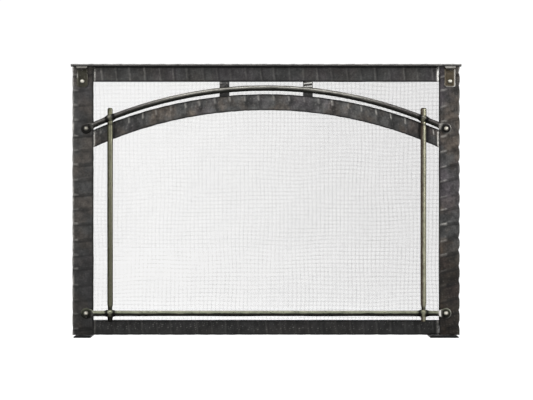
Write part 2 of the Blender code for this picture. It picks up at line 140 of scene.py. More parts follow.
def ripple(x, z, period, rng):
    """A smooth random field over x and z, mostly between -1 and 1, with about one period."""
    total = 0
    for _ in range(RIPPLE_WAVES):
        angle, phase = rng.uniform(0, 2 * math.pi, 2)
        length = rng.uniform(0.6, 1.6) * period
        along = x * math.cos(angle) + z * math.sin(angle)
        total = total + np.cos(2 * math.pi * along / length + phase)
    return total / math.sqrt(RIPPLE_WAVES)


def dents(x, z, rng, count, radius, depth):
    """Random round hammer dents over a surface laid out in x and z, as a depth."""
    total = np.zeros_like(x)
    for _ in range(count):
        cx = rng.uniform(x.min(), x.max())
        cz = rng.uniform(z.min(), z.max())
        size = rng.uniform(0.6, 1.4) * radius
        far = ((x - cx) ** 2 + (z - cz) ** 2) / size**2
        total += rng.uniform(0.3, 1.0) * depth * np.exp(-1.5 * far)
    return total


# ---------------------------------------------------------------- meshes
def tube_quads(rows, sides):
    """The faces between rings of points, from the first point of every ring but the last."""
    here = np.arange(sides)
    there = (here + 1) % sides
    quads = [rows + here, rows + there, rows + sides + there, rows + sides + here]
    return np.stack(quads, axis=-1).reshape(-1, 4).tolist()


def grid_mesh(name, points, material, attributes=None):
    """A smooth tube from a (stations, around, 3) array of points, its two ends closed."""
    stations, around = points.shape[:2]
    quads = tube_quads(np.arange(stations - 1)[:, None] * around, around)
    ends = [list(range(around))[::-1], list(range((stations - 1) * around, stations * around))]
    mesh = bpy.data.meshes.new(name)
    mesh.from_pydata(points.reshape(-1, 3).tolist(), [], quads + ends)
    return finish_mesh(name, mesh, material, attributes)


def finish_mesh(name, mesh, material, attributes=None, sharp=50):
    """Make an object of a mesh: normals out, smooth, with its material and its values of rubbing,
    painted highlight and painted shade.
    """
    shape = bmesh.new()
    shape.from_mesh(mesh)
    bmesh.ops.recalc_face_normals(shape, faces=shape.faces)
    shape.to_mesh(mesh)
    shape.free()
    for key, values in (attributes or {}).items():
        layer = mesh.attributes.new(key, "FLOAT", "POINT")
        layer.data.foreach_set("value", np.ascontiguousarray(values, dtype=np.float32).ravel())
    mesh.shade_smooth()
    mesh.set_sharp_from_angle(angle=math.radians(sharp))
    mesh.materials.append(material)
    obj = bpy.data.objects.new(name, mesh)
    bpy.context.scene.collection.objects.link(obj)
    return obj


def stand_for(obj, slot, *nodes):
    """The piece rides with the screen and is shown in place of its CAD nodes."""
    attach(obj, BODY)
    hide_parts(*nodes)


def stand_forged(node, points, finish, marks, slot="hammered_bar"):
    """Show a forged piece, with its marks of rubbing, painted highlight and painted shade, in place
    of one CAD node.
    """
    stand_for(grid_mesh(f"{node}_forged", points, finish, marks), slot, node)


def middle(box, axis):
    """The middle of a CAD node's box along an axis."""
    low, high = box
    return (low[axis] + high[axis]) / 2


def lathe_points(profile, sides):
    """(stations, around, 3) points of a (radius, height) profile turned about +Z."""
    angles = np.linspace(0, 2 * math.pi, sides, endpoint=False)
    profile = np.array(profile)
    return np.stack(
        [
            profile[:, 0, None] * np.cos(angles),
            profile[:, 0, None] * np.sin(angles),
            np.repeat(profile[:, 1, None], sides, axis=1),
        ],
        axis=-1,
    )


# ---------------------------------------------------------------- node materials
class Tree:
    """A short way to write the nodes of a material or a world."""

    def __init__(self, name, kind="materials"):
        self.owner = getattr(bpy.data, kind).new(name)
        self.owner.use_nodes = True
        self.tree = self.owner.node_tree
        self.shader = self.tree.nodes.get("Principled BSDF")
        self.coords = self.tree.nodes.new("ShaderNodeTexCoord")

    def put(self, socket, value):
        """Link a socket, or set a plain value."""
        if isinstance(value, bpy.types.NodeSocket):
            self.tree.links.new(value, socket)
        elif isinstance(value, tuple) and len(value) == 3 and len(socket.default_value) == 4:
            socket.default_value = (*value, 1.0)
        else:
            socket.default_value = value

    def add(self, kind, inputs, **settings):
        """A new node with its settings and its inputs, as its outputs."""
        node = self.tree.nodes.new(f"ShaderNode{kind}")
        for key, value in settings.items():
            setattr(node, key, value)
        for key, value in inputs.items():
            self.put(node.inputs[key], value)
        return node.outputs

    def noise(self, scale, detail=3.0, roughness=0.55, stretch=(1, 1, 1)):
        mapped = self.add("Mapping", {"Scale": stretch, "Vector": self.coords.outputs["Object"]})
        look = {"Scale": scale, "Detail": detail, "Roughness": roughness}
        return self.add("TexNoise", {"Vector": mapped["Vector"], **look})["Fac"]

    def attribute(self, name):
        return self.add("Attribute", {}, attribute_name=name)["Fac"]

    def math(self, operation, a, b=0.0, clamp=False):
        return self.add("Math", {0: a, 1: b}, operation=operation, use_clamp=clamp)["Value"]

    def spread(self, value, low, high, out_low=0.0, out_high=1.0):
        """Map low..high of a value smoothly to out_low..out_high."""
        ends = {"From Min": low, "From Max": high, "To Min": out_low, "To Max": out_high}
        smooth = {"interpolation_type": "SMOOTHSTEP"}
        return self.add("MapRange", {"Value": value, **ends}, **smooth)["Result"]

    def mix(self, factor, a, b, blend="MIX"):
        inputs = {"Factor": factor, 6: a, 7: b}
        return self.add("Mix", inputs, data_type="RGBA", blend_type=blend)[2]

    def dim(self, colour, value):
        """Multiply a colour by a number."""
        return self.mix(1.0, colour, grey_of(self, value), "MULTIPLY")

    def grain(self, fine, coarse):
        """Fine grain over coarse lumps that are twice as high."""
        fine, coarse = (self.noise(*settings) for settings in (fine, coarse))
        return self.math("ADD", fine, self.math("MULTIPLY", coarse, 2.0))

    def place(self, axis):
        """How far a point is from the middle of the screen, or from the floor, along an axis."""
        split = self.add("SeparateXYZ", {"Vector": self.coords.outputs["Object"]})
        return self.math("ABSOLUTE", split[axis])

    def worn_and_lit(self, colour, worn_and_lit_colour):
        """Brighten a colour by its rubbing and painted highlight: to worn_and_lit_colour up to 1,
        bare and lit above.
        """
        colour = self.mix(self.attribute("wear"), colour, worn_and_lit_colour)
        return self.mix(self.spread(self.attribute("wear"), 1.0, 1.6), colour, BARE_AND_LIT_IRON)

    def facing(self, direction):
        """How far the surface faces a direction of the object, from -1 to 1."""
        inputs = {0: self.coords.outputs["Normal"], 1: Vector(direction).normalized()}
        return self.add("VectorMath", inputs, operation="DOT_PRODUCT")["Value"]

    def bump(self, height, distance, strength=1.0):
        inputs = {"Distance": distance, "Strength": strength, "Height": height}
        self.put(self.shader.inputs["Normal"], self.add("Bump", inputs)["Normal"])

    def finish(self, colour, roughness, metallic, coat=0.0):
        self.put(self.shader.inputs["Base Color"], colour)
        self.put(self.shader.inputs["Roughness"], roughness)
        self.shader.inputs["Metallic"].default_value = metallic
        self.shader.inputs["Coat Weight"].default_value = coat
        self.shader.inputs["Coat Roughness"].default_value = 0.3
        return self.owner


def scaled(colour, amount):
    return tuple(channel * amount for channel in colour)


CHARCOAL = (0.050, 0.050, 0.049)
WARM_BROWN = (0.068, 0.056, 0.046)
VIOLET_GREY = (0.056, 0.049, 0.054)
# Colours of iron that has lost its scale, and of the painted highlights on ridges, edges, rims and
# crowns.
WORN_AND_LIT_IRON = (0.30, 0.29, 0.27)
BARE_AND_LIT_IRON = (0.80, 0.79, 0.76)
# Near black: the painted shade below ridges, on turned-away bevels, under overhangs and beside
# rods, and the darkest places of the iron.
SHADE_AND_SOOT_BLACK = (0.003, 0.003, 0.003)
# Colours painted on the lit and the shaded sides of the forged rods.
OLIVE = (0.200, 0.195, 0.134)
OLIVE_BLACK = (0.030, 0.030, 0.018)
PALE_OLIVE = (0.345, 0.334, 0.242)
BROWN_BLACK = (0.058, 0.045, 0.034)
BLACK = (0.010, 0.010, 0.008)


def grey_of(t, value):
    """A grey colour from a number."""
    return t.add("CombineColor", dict.fromkeys(("Red", "Green", "Blue"), value))["Color"]


def hammered_iron(
    name, tone=1.0, warm=0.5, violet=0.5, patchy=0.28, fade=None, fade_tint=(1, 1, 1)
):
    """Waxed black iron: mottled scale, brown and violet patches, ridges painted bright as
    highlights, and painted shade.

    patchy is how much lighter and darker the large patches are. fade darkens the iron along an
    axis: (axis, from, to, share of the tone that is left there), and fade_tint colours it there.
    """
    t = Tree(name)
    brown = t.spread(t.noise(15, 3, 0.6), 0.44, 0.66, 0.0, warm)
    mauve = t.spread(t.noise(10, 2, 0.5, (1.3, 1, 0.9)), 0.48, 0.68, 0.0, violet)
    colour = t.mix(brown, scaled(CHARCOAL, tone), scaled(WARM_BROWN, tone))
    colour = t.mix(mauve, colour, scaled(VIOLET_GREY, tone))
    mottle = t.math(
        "MULTIPLY", t.spread(t.noise(210, 4, 0.65), 0.25, 0.75, 0.70, 1.30),
        t.spread(t.noise(38, 3, 0.6), 0.30, 0.70, 1 - patchy, 1 + 1.3 * patchy),
    )
    if fade:
        axis, start, end, left = fade
        mottle = t.math("MULTIPLY", mottle, t.spread(t.place(axis), start, end, 1.0, left))
        tint = t.mix(t.spread(t.place(axis), start, end), (1, 1, 1), fade_tint)
        colour = t.mix(1.0, colour, tint, "MULTIPLY")
    colour = t.dim(colour, mottle)
    # The ridges, edge bevels and bevelled ends are painted bright as highlights, and turned-away
    # and overhung places painted black as shade, by the marks each piece carries.
    rubbed_and_lit = t.spread(t.noise(110, 3, 0.6), 0.35, 0.62, 0.45, 1.0)
    wear = t.math("MULTIPLY", t.attribute("wear"), rubbed_and_lit, clamp=True)
    colour = t.mix(wear, colour, scaled(WORN_AND_LIT_IRON, 0.4 + 0.6 * tone))
    colour = t.mix(t.spread(t.attribute("wear"), 1.0, 1.6), colour, BARE_AND_LIT_IRON)
    colour = t.mix(t.attribute("soot"), colour, SHADE_AND_SOOT_BLACK)
    rough = t.spread(t.noise(60, 3, 0.6), 0.3, 0.7, 0.42, 0.60)
    rough = t.math("SUBTRACT", rough, t.math("MULTIPLY", wear, 0.14))
    rough = t.math("ADD", rough, t.math("MULTIPLY", t.attribute("soot"), 0.25))
    t.bump(t.grain((420, 4, 0.6), (120, 2, 0.5)), 0.00022, 0.8)
    return t.finish(colour, rough, 0.65, coat=0.08)


def side_lit_rod(name, facing, bright, dark, low, high, fade, far_bright):
    """A forged rod, painted lit where it faces one way by more than low, and painted black as shade
    elsewhere.

    Along (axis, from, to) of fade its bright colour goes over into far_bright.
    """
    t = Tree(name)
    axis, start, end = fade
    waver = t.math("MULTIPLY", t.math("SUBTRACT", t.noise(55, 3, 0.6), 0.5), 0.5)
    rubbed_and_lit = t.spread(t.math("ADD", t.facing(facing), waver), low, high)
    shine = t.mix(t.spread(t.place(axis), start, end), bright, far_bright)
    streaks = t.spread(t.noise(24, 3, 0.6), 0.38, 0.68, 0.0, 0.6)
    shine = t.mix(streaks, shine, scaled(bright, 0.45))
    colour = t.mix(rubbed_and_lit, dark, shine)
    # The fronts of the eyes are painted the lit olive of the uprights.
    colour = t.mix(t.attribute("cheek"), colour, scaled(OLIVE, 0.95))
    colour = t.worn_and_lit(colour, WORN_AND_LIT_IRON)
    colour = t.mix(t.attribute("soot"), colour, SHADE_AND_SOOT_BLACK)
    rough = t.spread(t.noise(150, 3, 0.6), 0.3, 0.7, 0.26, 0.42)
    rough = t.math("ADD", rough, t.math("MULTIPLY", t.math("SUBTRACT", 1.0, rubbed_and_lit), 0.30))
    rough = t.math("ADD", rough, t.math("MULTIPLY", t.attribute("soot"), 0.3), clamp=True)
    t.bump(t.grain((380, 3, 0.6), (90, 2, 0.5)), 0.00018, 0.7)
    t.shader.inputs["Specular IOR Level"].default_value = 0.25
    return t.finish(colour, rough, 0.80)


def plain_iron(name, colour, rough_low, rough_high, metallic, worn_and_lit=WORN_AND_LIT_IRON, grain_scale=300):
    """Mill scale or a fastener: one mottled colour with fine grain, and the painted highlights and
    painted shade that the piece carries.
    """
    t = Tree(name)
    patch = t.spread(t.noise(45, 3, 0.6), 0.35, 0.68)
    tone = t.mix(patch, colour, scaled(colour, 0.55))
    tone = t.mix(t.spread(t.noise(18, 2), 0.48, 0.7, 0.0, 0.6), tone, scaled(WARM_BROWN, 1.3))
    tone = t.worn_and_lit(tone, worn_and_lit)
    tone = t.mix(t.attribute("soot"), tone, SHADE_AND_SOOT_BLACK)
    rough = t.spread(t.noise(120, 3, 0.6), 0.3, 0.7, rough_low, rough_high)
    t.bump(t.noise(grain_scale, 4, 0.6), 0.00015, 0.7)
    return t.finish(tone, rough, metallic)


def wire_steel(name):
    """Bare drawn wire, a little darker and pinker towards the right of the screen, painted darker
    near the floor as shade.
    """
    t = Tree(name)
    split = t.add("SeparateXYZ", {"Vector": t.coords.outputs["Object"]})
    along = t.spread(split["X"], -0.40, 0.42)
    colour = t.mix(along, (0.36, 0.354, 0.338), (0.058, 0.041, 0.040))
    # Painted shade on the wires near the floor.
    low_down = t.spread(split["Z"], 0.05, 0.20, 0.40, 1.0)
    colour = t.dim(colour, low_down)
    patch = t.spread(t.noise(9, 3, 0.6), 0.45, 0.7, 1.0, 0.75)
    dull = t.spread(t.noise(240, 3, 0.6), 0.35, 0.65, 1.0, 0.72)
    colour = t.dim(colour, t.math("MULTIPLY", patch, dull))
    rough = t.spread(t.noise(300, 2), 0.3, 0.7, 0.34, 0.52)
    t.bump(t.noise(900, 2, 0.5), 0.00005, 0.6)
    return t.finish(colour, rough, 0.75)


# ---------------------------------------------------------------- peened flat bars
def bar_loop(width, thickness, bevel_width, bevel_depth):
    """(y, z) points round a flat bar: a face between two hammered slopes, and soft back edges."""
    r = BAR_EDGE_RADIUS
    across = max(8, int((width - 2 * bevel_width) / BAR_STEP_ACROSS))
    quarter = np.radians(np.linspace(0, 90, 4))
    slope = np.linspace(0, 1, 5)[1:]
    points = [(0.0, z) for z in np.linspace(bevel_width, width - bevel_width, across)]
    points += [(bevel_depth * u**1.5, width - bevel_width * (1 - u)) for u in slope]
    points += [(y, width) for y in np.linspace(bevel_depth, thickness - r, 3)[1:]]
    for a in quarter[1:]:
        points.append((thickness - r + r * math.sin(a), width - r + r * math.cos(a)))
    points += [(thickness, z) for z in np.linspace(width - r, r, max(4, across // 3))[1:]]
    for a in quarter[1:]:
        points.append((thickness - r + r * math.cos(a), r - r * math.sin(a)))
    points += [(y, 0.0) for y in np.linspace(thickness - r, bevel_depth, 3)[1:]]
    points += [(bevel_depth * u**1.5, bevel_width * (1 - u)) for u in slope[::-1][1:]]
    return np.array(points)


def peened_bar(
    length, width, thickness, seed, notches=(0.0003, 0.0003), depth=0.0009, slant=0.0, bow=0.0,
    falls=1, dash=(0.0, 1.0, 0.45), dash_ends=(1.0, 1.0), dash_turn=(0.0, 1.0),
    flecks=(0.0, 1.0, 0.0), edge_shade=(0.8, 0.8), edge_highlight=(0.0, 0.0), end_bevel=0.0,
    end_highlight=(0.75, 0.75), corner=0.0, pitch=PEEN_PITCH, bevel=(BAR_BEVEL_WIDTH, BAR_BEVEL_DEPTH),
    crease_shade=0.40,
):
    """Local (x, y, z) grids of a bar drawn out by a cross-peen hammer, with painted highlight and
    shade.

    Every blow leaves a shallow facet right across the face. A facet rises gently to a ridge and
    falls steeply to the next one, towards the bar's start where falls is -1. slant leans the
    ridges and bow curves them. notches are the bites in the low and the high edge, one at each
    ridge. dash is the stretch of the width where the ridges are painted bright as highlights, and
    how bright. dash_ends is how much of that is left at the bar's start and at its end, and
    dash_turn where along the bar the one goes over into the other. flecks is like dash, for small
    bright flecks. creases is how black the low side of every ridge is painted, as shade.
    """
    rng = np.random.default_rng(seed)
    loop = bar_loop(width, thickness, *bevel)
    stations = np.linspace(0, length, int(length / BAR_STEP) + 1)
    x = np.repeat(stations[:, None], len(loop), axis=1)
    y = np.repeat(loop[None, :, 0], len(stations), axis=0)
    z = np.repeat(loop[None, :, 1], len(stations), axis=0)
    front = np.clip(1 - y / thickness, 0, 1)
    face = (y <= bevel[1] + 1e-6).astype(float)
    offset = (z - width / 2) / (width / 2)

    blows = int(round(length / pitch))
    ridges = (np.arange(-1, blows + 2) + 0.5) * length / blows
    ridges = ridges + rng.uniform(-BLOW_SCATTER, BLOW_SCATTER, len(ridges)) * pitch
    lean = slant * (1 + 0.35 * wander(x, 2.5 * pitch, rng))
    struck = x - lean * width / 2 * offset - bow * offset**2
    struck = struck + 0.0012 * wander(z + 3 * x, 0.009, rng)
    index = np.clip(np.searchsorted(ridges, struck, side="right") - 1, 0, len(ridges) - 2)
    part = (struck - ridges[index]) / (ridges[index + 1] - ridges[index])
    ridge = index
    if falls < 0:
        part = 1 - part
        ridge = index + 1
    force = rng.uniform(0.6, 1.25, len(ridges))[ridge]
    steep = np.clip(part / STEEP_SHARE, 0, 1)
    gentle = np.clip((part - STEEP_SHARE) / (1 - STEEP_SHARE), 0, 1)
    fall = smooth_step(steep) - gentle**1.4
    hollow = depth * force * fall
    hollow += dents(x, z, rng, int(length * width * DENTS_PER_AREA), DENT_RADIUS, DENT_DEPTH)
    hollow += 0.00010 * (1 + wander(x + 0.4 * z, 0.011, rng))

    bite = np.clip(1 - np.minimum(part, 1 - part) / BITE_SHARE, 0, 1) ** 1.2
    low_edge = np.clip(1 - z / bevel[0], 0, 1)
    high_edge = np.clip(1 - (width - z) / bevel[0], 0, 1)
    uneven = 0.00025 * (1 + wander(x, 0.016, rng))
    low_in = notches[0] * bite * rng.uniform(0.6, 1.2, len(ridges))[ridge] + uneven
    high_in = notches[1] * bite * rng.uniform(0.6, 1.2, len(ridges))[ridge] + uneven

    from_end = np.minimum(x, length - x)
    if end_bevel:
        hollow += 0.55 * np.clip(end_bevel - from_end, 0, None)
    if corner:
        inside = np.clip(corner - from_end, 0, corner)
        rounding = corner - np.sqrt(np.clip(corner**2 - inside**2, 0, None))
        low_in = low_in + rounding
        high_in = high_in + rounding

    y = y + front * hollow
    z = z + low_edge * low_in - high_edge * high_in
    across = loop[None, :, 1] / width
    low_band = np.clip(1.3 - loop[:, 1] / bevel[0], 0, 1)[None, :] * face
    high_band = np.clip(1.3 - (width - loop[:, 1]) / bevel[0], 0, 1)[None, :] * face
    patchy = np.clip(0.6 + 0.7 * wander(x, 0.023, rng), 0, 1)
    # Painted highlights on the steep sides of the ridges within dash and on the edge bevels by
    # edge_highlight, with small bright flecks; painted shade below the ridges, on steep sides
    # outside dash, and on the edge bevels by edge_shade.
    on_steep = bell(part - 0.55 * STEEP_SHARE, 0.80 * STEEP_SHARE)
    below = bell(part - 1.9 * STEEP_SHARE, 0.7 * STEEP_SHARE)
    turned = smooth_step((x - dash_turn[0]) / (dash_turn[1] - dash_turn[0]))
    strength = dash_ends[0] + (dash_ends[1] - dash_ends[0]) * turned
    rubbed_and_lit = band(across, dash[0], dash[1], 0.12)
    wear = dash[2] * strength * on_steep * rubbed_and_lit * force * face
    fleck = smooth_step((ripple(x, 1.6 * z, 0.0085, rng) - 0.75) / 0.9)
    in_band = band(across, flecks[0], flecks[1], 0.1)
    wear = np.maximum(wear, flecks[2] * fleck * in_band * face)
    wear = np.maximum(wear, (edge_highlight[0] * low_band + edge_highlight[1] * high_band) * patchy)
    soot = (crease_shade * below + 0.45 * on_steep * (1 - rubbed_and_lit)) * force * face
    soot = np.maximum(soot, edge_shade[0] * low_band)
    soot = np.maximum(soot, edge_shade[1] * high_band)
    # The bevelled ends are painted bright as highlights by end_highlight, and their painted shade
    # is taken off.
    if end_bevel:
        at_end = smooth_step(1.25 - from_end / end_bevel) * face
        wear = np.maximum(wear, np.where(x < length / 2, *end_highlight) * at_end)
        soot = soot * (1 - at_end)
    return (x, y, z), {"wear": np.clip(wear, 0, 2), "soot": np.clip(soot, 0, MOST_SOOT_AND_SHADE)}


def lying_points(grids, low_corner):
    """A bar along +X whose front faces -Y."""
    x, y, z = grids
    return np.stack([low_corner[0] + x, low_corner[1] + y, low_corner[2] + z], axis=-1)


def standing_points(grids, high_x, front, bottom):
    """A bar along +Z whose front faces -Y; its low edge is the right one."""
    x, y, z = grids
    return np.stack([high_x - z, front + y, bottom + x], axis=-1)


def flat_points(grids, low_x, front_y, top):
    """A bar along +X that lies flat, its face up and its low edge to the front."""
    x, y, z = grids
    return np.stack([low_x + x, front_y + z, top - y], axis=-1)


def foot_points(grids, right_x, front_y, top):
    """A bar along +Y that lies flat, its face up."""
    x, y, z = grids
    return np.stack([right_x - z, front_y + x, top - y], axis=-1)


def make_stiles():
    spreads = {"left": (0.0010, 0.0010), "right": (0.0, 0.0007)}  # in and out, under the hammer
    looks = {
        "left": dict(
            seed=11, notches=(0.0003, 0.0007), depth=0.0008, slant=-0.07, bow=0.0012,
            dash=(0.72, 1.1, 0.46), dash_ends=(0.55, 1.0), dash_turn=(0.08, 0.34),
            flecks=(0.05, 0.9, 0.10), edge_shade=(0.92, 0.0), edge_highlight=(0.0, 1.20), crease_shade=0.60,
            finish=hammered_iron("left_stile_iron", 0.80, 0.6, 0.3, 0.34, ("Z", 0.36, 0.12, 0.50)),
        ),
        "right": dict(
            seed=12, notches=(0.0026, 0.0003), depth=0.0008, slant=-0.20, dash=(0.62, 0.96, 0.72),
            dash_ends=(0.05, 1.0), dash_turn=(0.13, 0.27), flecks=(0.05, 0.95, 0.22),
            edge_shade=(0.2, 0.85), edge_highlight=(0.12, 0.0), crease_shade=0.55,
            finish=hammered_iron(
                "right_stile_iron", 0.92, 1.0, 0.9, 0.56,
                fade=("Z", 0.27, 0.16, 0.33), fade_tint=(1.15, 0.93, 0.74),
            ),
        ),
    }
    for side, look in looks.items():
        node = f"{side}_stile"
        low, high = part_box(node)
        finish = look.pop("finish")
        length = high.z - low.z + WELD_REACH
        inner, outer = spreads[side]
        width = high.x - low.x + inner + outer
        grids, marks = peened_bar(length, width, high.y - low.y, falls=-1, **look)
        high_x = high.x + (inner if side == "left" else outer)
        points = standing_points(grids, high_x, low.y, low.z)
        stand_forged(node, points, finish, marks)


def make_rails():
    looks = {
        "top_rail": dict(
            seed=21, slant=-0.10, depth=0.0007, dash=(-0.2, 1.2, 0.46), dash_ends=(1.15, 0.38),
            dash_turn=(0.10, 0.26), flecks=(0.1, 0.9, 0.16), edge_shade=(0.97, 0.97),
            end_highlight=(0.95, 1.5), finish=hammered_iron("top_rail_iron", 0.92, 0.3, 0.5),
        ),
        "bottom_rail": dict(
            seed=22, notches=(0.0003, 0.0020), slant=-0.10, depth=0.0007, pitch=0.0355,
            dash=(-0.2, 1.2, 0.12), flecks=(0.30, 1.1, 0.55), edge_shade=(0.97, 0.25),
            end_highlight=(0.55, 0.9), finish=hammered_iron("bottom_rail_iron", 0.24, 0.3, 0.2, 0.5),
        ),
    }
    for node, look in looks.items():
        low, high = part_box(node)
        finish = look.pop("finish")
        length = high.x - low.x + 2 * WELD_REACH
        width = high.z - low.z
        if node == "top_rail":
            width += 2.5 * WELD_REACH
        grids, marks = peened_bar(
            length, width, high.y - low.y, end_bevel=0.0070, corner=0.0015, **look
        )
        start = (low.x - WELD_REACH, low.y, low.z)
        stand_forged(node, lying_points(grids, start), finish, marks)


def make_cap():
    low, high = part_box("cap_bar")
    grids, marks = peened_bar(
        high.x - low.x, high.y - low.y, high.z - low.z, seed=31, notches=(0.0009, 0.0003),
        depth=0.0006, dash=(-0.2, 1.2, 0.10), edge_shade=(0.1, 0.3), edge_highlight=(0.08, 0.05),
        corner=0.004,
    )
    # The upper front of the cap is painted bright as a highlight; its lower front and its underside
    # are painted black as shade.
    rubbed_and_lit = 0.50 + 0.28 * wander(grids[0], 0.019, np.random.default_rng(32))
    in_front = smooth_step(2.0 - grids[2] / 0.0012)
    lower_half = smooth_step((grids[1] - 0.0034) / 0.0014)
    underside = smooth_step((grids[1] - 0.0052) / 0.0008)
    at_least(marks, "wear", rubbed_and_lit * in_front * (1 - lower_half))
    marks["soot"] = np.maximum(marks["soot"] * (1 - in_front), 0.92 * in_front * lower_half)
    at_least(marks, "soot", 0.97 * underside)
    points = flat_points(grids, low.x, low.y, high.z)
    finish = hammered_iron("cap_iron", 0.9, 0.3, 0.3)
    stand_forged("cap_bar", points, finish, marks)


def arch_circle():
    """The radius of the upper edge of the arch bar, and the height of its centre."""
    low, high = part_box("arch_bar")
    half = (high.x - low.x) / 2
    rise = high.z - low.z
    radius = (half**2 + rise**2 - ARCH_WIDTH**2) / (2 * (rise - ARCH_WIDTH))
    return radius, high.z - radius


def make_arch_bar():
    """The bar is bent about its middle line; its ends are upright where they meet the stiles."""
    low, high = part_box("arch_bar")
    half = (high.x - low.x) / 2 + WELD_REACH
    width = ARCH_WIDTH
    radius, centre_z = arch_circle()
    length = 2 * radius * math.asin(half / radius)
    grids, marks = peened_bar(
        length, width, high.y - low.y, seed=41, slant=-0.15, dash=(0.60, 0.95, 0.62),
        flecks=(0.30, 0.95, 0.30), edge_shade=(0.97, 0.50), end_bevel=0.0055, end_highlight=(1.15, 1.25),
    )
    x, y, z = grids
    ring = radius - width + z
    angle = (2 * x / length - 1) * np.arcsin(half / ring)
    points = np.stack([ring * np.sin(angle), low.y + y, centre_z + ring * np.cos(angle)], axis=-1)
    # Painted shadow on the bar beside each upright rod.
    for side in SIDES:
        beside = points[..., 0] - middle(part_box(f"{side}_upright_rod"), AXIS_X)
        if side == "right":
            beside = np.abs(beside)
        at_least(marks, "soot", 0.85 * bell(beside - 0.0095, 0.005))
    finish = hammered_iron("arch_iron", 1.30, 0.9, 0.6, 0.50, ("X", 0.18, 0.38, 0.60))
    stand_forged("arch_bar", points, finish, marks)


def make_feet():
    finish = hammered_iron("foot_iron", 0.04, 0.2, 0.2)
    for side in SIDES:
        node = f"{side}_foot"
        low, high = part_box(node)
        grids, marks = peened_bar(
            high.y - low.y, high.x - low.x, high.z - low.z, seed=51 if side == "left" else 52,
            depth=0.0005, dash=(-0.2, 1.2, 0.05), edge_shade=(0.6, 0.6), corner=0.003,
        )
        at_least(marks, "soot", 0.95 * smooth_step(1.5 - grids[0] / 0.006))
        points = foot_points(grids, high.x, low.y, high.z)
        stand_forged(node, points, finish, marks)


def make_spacers():
    """Short blocks whose lower ends follow the arch, with painted shadow and highlights; the right
    one has a chiselled step.
    """
    finish = hammered_iron("spacer_iron", 0.85, 0.3, 0.2, 0.5)
    radius, centre_z = arch_circle()
    looks = {
        "left": dict(seed=61, depth=0.0010, dash=(-0.2, 0.7, 0.25), flecks=(0.1, 0.9, 1.50)),
        "right": dict(seed=62, depth=0.0010, dash=(-0.2, 1.2, 0.30), flecks=(0.1, 0.9, 0.30)),
    }
    for side, look in looks.items():
        node = f"{side}_spacer"
        low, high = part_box(node)
        length = high.z - low.z + 2 * WELD_REACH
        (x, y, z), marks = peened_bar(
            length, high.x - low.x, high.y - low.y, slant=-0.15, pitch=0.016, edge_shade=(0.5, 0.5),
            **look,
        )
        in_front = smooth_step(1 - y / 0.004)
        # Painted shadow of the rod on the lower part of the block.
        rod_shadow = 0.97 * smooth_step(0.62 - x / 0.030) * in_front
        at_least(marks, "soot", rod_shadow)
        if side == "left":
            spots = ripple(x, z, 0.0055, np.random.default_rng(63))
            spotted = 1.7 * smooth_step((spots - 0.45) / 0.7) * smooth_step(x / 0.006 - 3.8)
            spotted = spotted * in_front
            at_least(marks, "wear", spotted)
        else:
            from_step = length - x - 0.0085 - 0.15 * (z - (high.x - low.x) / 2)
            # The groove of the step is painted black as shade, and its lips bright as highlights.
            groove = bell(from_step, 0.0016)
            beside = bell(np.abs(from_step) - 0.0044, 0.0024)
            y = y + 0.0016 * groove * in_front
            at_least(marks, "soot", 0.95 * groove * in_front)
            at_least(marks, "wear", 1.9 * beside * in_front)
        points = standing_points((x, y, z), high.x, low.y, low.z - WELD_REACH)
        over_arch = centre_z + np.sqrt(radius**2 - points[..., 0] ** 2) - low.z
        points[..., 2] += np.clip(over_arch, 0, None) * (1 - x / length)
        stand_forged(node, points, finish, marks)


# ---------------------------------------------------------------- forged rods
def rod_grid(stations, half_height, half_depth, shift, square, seed, sides=28):
    """Local grids of a rod along x: round, or squarer where square is above 0."""
    rng = np.random.default_rng(seed)
    angle = np.linspace(0, 2 * math.pi, sides, endpoint=False)[None, :] + math.pi / sides
    power = 1 - 0.6 * square[:, None]
    across = np.sign(np.cos(angle)) * np.abs(np.cos(angle)) ** power
    facets = 1 + 0.010 * wander(stations, 0.013, rng)[:, None] * np.cos(2 * angle + 0.6)
    facets = facets + 0.008 * wander(stations, 0.021, rng)[:, None] * np.cos(3 * angle)
    x = np.repeat(stations[:, None], sides, axis=1)
    y = shift[:, None] + half_depth[:, None] * across * facets
    z = half_height[:, None] * np.sin(angle) * facets
    return x, y, z


def arch_rod_centre(pad_x, pad_z):
    """The height of the centre of the arch rod's circle, from the place of its right pad."""
    return pad_z - math.sqrt(ARCH_ROD_RADIUS**2 - pad_x**2)


